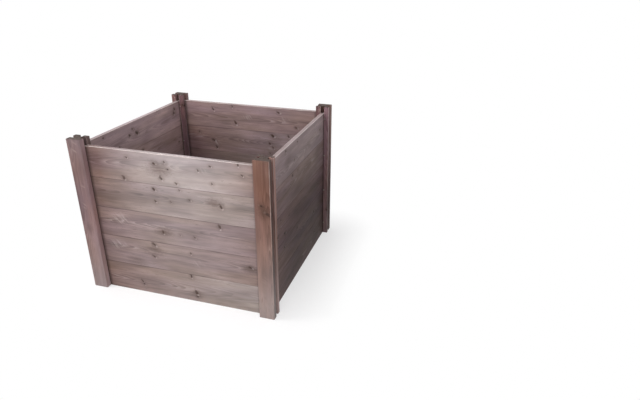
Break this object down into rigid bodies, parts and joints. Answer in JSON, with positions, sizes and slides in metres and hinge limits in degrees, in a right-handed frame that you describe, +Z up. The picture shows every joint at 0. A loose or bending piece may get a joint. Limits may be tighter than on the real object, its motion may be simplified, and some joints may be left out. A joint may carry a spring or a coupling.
{
  "type": "compost bin",
  "caption": "Square open-topped wooden compost bin: slotted corner posts with walls of loose boards that lift out one by one.",
  "frame": {"origin": "on the ground, in the middle of the bin", "axes": "+X to the right seen from the front, +Y to the back, +Z up"},
  "size_m": [1, 0.985, 0.8],
  "materials": {
    "board_wood": "brown stained softwood, matt",
    "post_wood": "brown stained softwood, matt",
    "clip_plastic": "dark green, moulded",
    "screw_steel": "zinc plated"
  },
  "bodies": {
    "posts": {"front_left_post_outer_batten": "post_wood", "front_left_post_core": "post_wood", "front_left_post_inner_strip_left": "post_wood", "front_left_post_inner_strip_right": "post_wood", "front_left_post_screws": "screw_steel", "front_right_post_outer_batten": "post_wood", "front_right_post_core": "post_wood", "front_right_post_inner_strip_left": "post_wood", "front_right_post_inner_strip_right": "post_wood", "front_right_post_screws": "screw_steel", "rear_left_post_outer_batten": "post_wood", "rear_left_post_core": "post_wood", "rear_left_post_inner_strip_left": "post_wood", "rear_left_post_inner_strip_right": "post_wood", "rear_left_post_screws": "screw_steel", "rear_right_post_outer_batten": "post_wood", "rear_right_post_core": "post_wood", "rear_right_post_inner_strip_left": "post_wood", "rear_right_post_inner_strip_right": "post_wood", "rear_right_post_screws": "screw_steel"},
    "front_board_1": {"front_board_1": "board_wood", "front_board_1_end_clips": "clip_plastic"},
    "front_board_2": {"front_board_2": "board_wood", "front_board_2_end_clips": "clip_plastic"},
    "front_board_3": {"front_board_3": "board_wood", "front_board_3_end_clips": "clip_plastic"},
    "front_board_4": {"front_board_4": "board_wood", "front_board_4_end_clips": "clip_plastic"},
    "front_board_5": {"front_board_5": "board_wood", "front_board_5_end_clips": "clip_plastic"},
    "rear_board_1": {"rear_board_1": "board_wood", "rear_board_1_end_clips": "clip_plastic"},
    "rear_board_2": {"rear_board_2": "board_wood", "rear_board_2_end_clips": "clip_plastic"},
    "rear_board_3": {"rear_board_3": "board_wood", "rear_board_3_end_clips": "clip_plastic"},
    "rear_board_4": {"rear_board_4": "board_wood", "rear_board_4_end_clips": "clip_plastic"},
    "rear_board_5": {"rear_board_5": "board_wood", "rear_board_5_end_clips": "clip_plastic"},
    "left_board_1": {"left_board_1": "board_wood", "left_board_1_end_clips": "clip_plastic"},
    "left_board_2": {"left_board_2": "board_wood", "left_board_2_end_clips": "clip_plastic"},
    "left_board_3": {"left_board_3": "board_wood", "left_board_3_end_clips": "clip_plastic"},
    "left_board_4": {"left_board_4": "board_wood", "left_board_4_end_clips": "clip_plastic"},
    "left_board_5": {"left_board_5": "board_wood", "left_board_5_end_clips": "clip_plastic"},
    "right_board_1": {"right_board_1": "board_wood", "right_board_1_end_clips": "clip_plastic"},
    "right_board_2": {"right_board_2": "board_wood", "right_board_2_end_clips": "clip_plastic"},
    "right_board_3": {"right_board_3": "board_wood", "right_board_3_end_clips": "clip_plastic"},
    "right_board_4": {"right_board_4": "board_wood", "right_board_4_end_clips": "clip_plastic"},
    "right_board_5": {"right_board_5": "board_wood", "right_board_5_end_clips": "clip_plastic"}
  },
  "joints": [
    {"name": "front_board_1_lift", "type": "slide", "parent": "posts", "child": "front_board_1", "axis": [0, 0, 1], "range_m": [0, 0.78]},
    {"name": "front_board_2_lift", "type": "slide", "parent": "front_board_1", "child": "front_board_2", "axis": [0, 0, 1], "range_m": [0, 0.627]},
    {"name": "front_board_3_lift", "type": "slide", "parent": "front_board_2", "child": "front_board_3", "axis": [0, 0, 1], "range_m": [0, 0.474]},
    {"name": "front_board_4_lift", "type": "slide", "parent": "front_board_3", "child": "front_board_4", "axis": [0, 0, 1], "range_m": [0, 0.321]},
    {"name": "front_board_5_lift", "type": "slide", "parent": "front_board_4", "child": "front_board_5", "axis": [0, 0, 1], "range_m": [0, 0.168]},
    {"name": "rear_board_1_lift", "type": "slide", "parent": "posts", "child": "rear_board_1", "axis": [0, 0, 1], "range_m": [0, 0.78]},
    {"name": "rear_board_2_lift", "type": "slide", "parent": "rear_board_1", "child": "rear_board_2", "axis": [0, 0, 1], "range_m": [0, 0.627]},
    {"name": "rear_board_3_lift", "type": "slide", "parent": "rear_board_2", "child": "rear_board_3", "axis": [0, 0, 1], "range_m": [0, 0.474]},
    {"name": "rear_board_4_lift", "type": "slide", "parent": "rear_board_3", "child": "rear_board_4", "axis": [0, 0, 1], "range_m": [0, 0.321]},
    {"name": "rear_board_5_lift", "type": "slide", "parent": "rear_board_4", "child": "rear_board_5", "axis": [0, 0, 1], "range_m": [0, 0.168]},
    {"name": "left_board_1_lift", "type": "slide", "parent": "posts", "child": "left_board_1", "axis": [0, 0, 1], "range_m": [0, 0.78]},
    {"name": "left_board_2_lift", "type": "slide", "parent": "left_board_1", "child": "left_board_2", "axis": [0, 0, 1], "range_m": [0, 0.627]},
    {"name": "left_board_3_lift", "type": "slide", "parent": "left_board_2", "child": "left_board_3", "axis": [0, 0, 1], "range_m": [0, 0.474]},
    {"name": "left_board_4_lift", "type": "slide", "parent": "left_board_3", "child": "left_board_4", "axis": [0, 0, 1], "range_m": [0, 0.321]},
    {"name": "left_board_5_lift", "type": "slide", "parent": "left_board_4", "child": "left_board_5", "axis": [0, 0, 1], "range_m": [0, 0.168]},
    {"name": "right_board_1_lift", "type": "slide", "parent": "posts", "child": "right_board_1", "axis": [0, 0, 1], "range_m": [0, 0.78]},
    {"name": "right_board_2_lift", "type": "slide", "parent": "right_board_1", "child": "right_board_2", "axis": [0, 0, 1], "range_m": [0, 0.627]},
    {"name": "right_board_3_lift", "type": "slide", "parent": "right_board_2", "child": "right_board_3", "axis": [0, 0, 1], "range_m": [0, 0.474]},
    {"name": "right_board_4_lift", "type": "slide", "parent": "right_board_3", "child": "right_board_4", "axis": [0, 0, 1], "range_m": [0, 0.321]},
    {"name": "right_board_5_lift", "type": "slide", "parent": "right_board_4", "child": "right_board_5", "axis": [0, 0, 1], "range_m": [0, 0.168]}
  ]
}
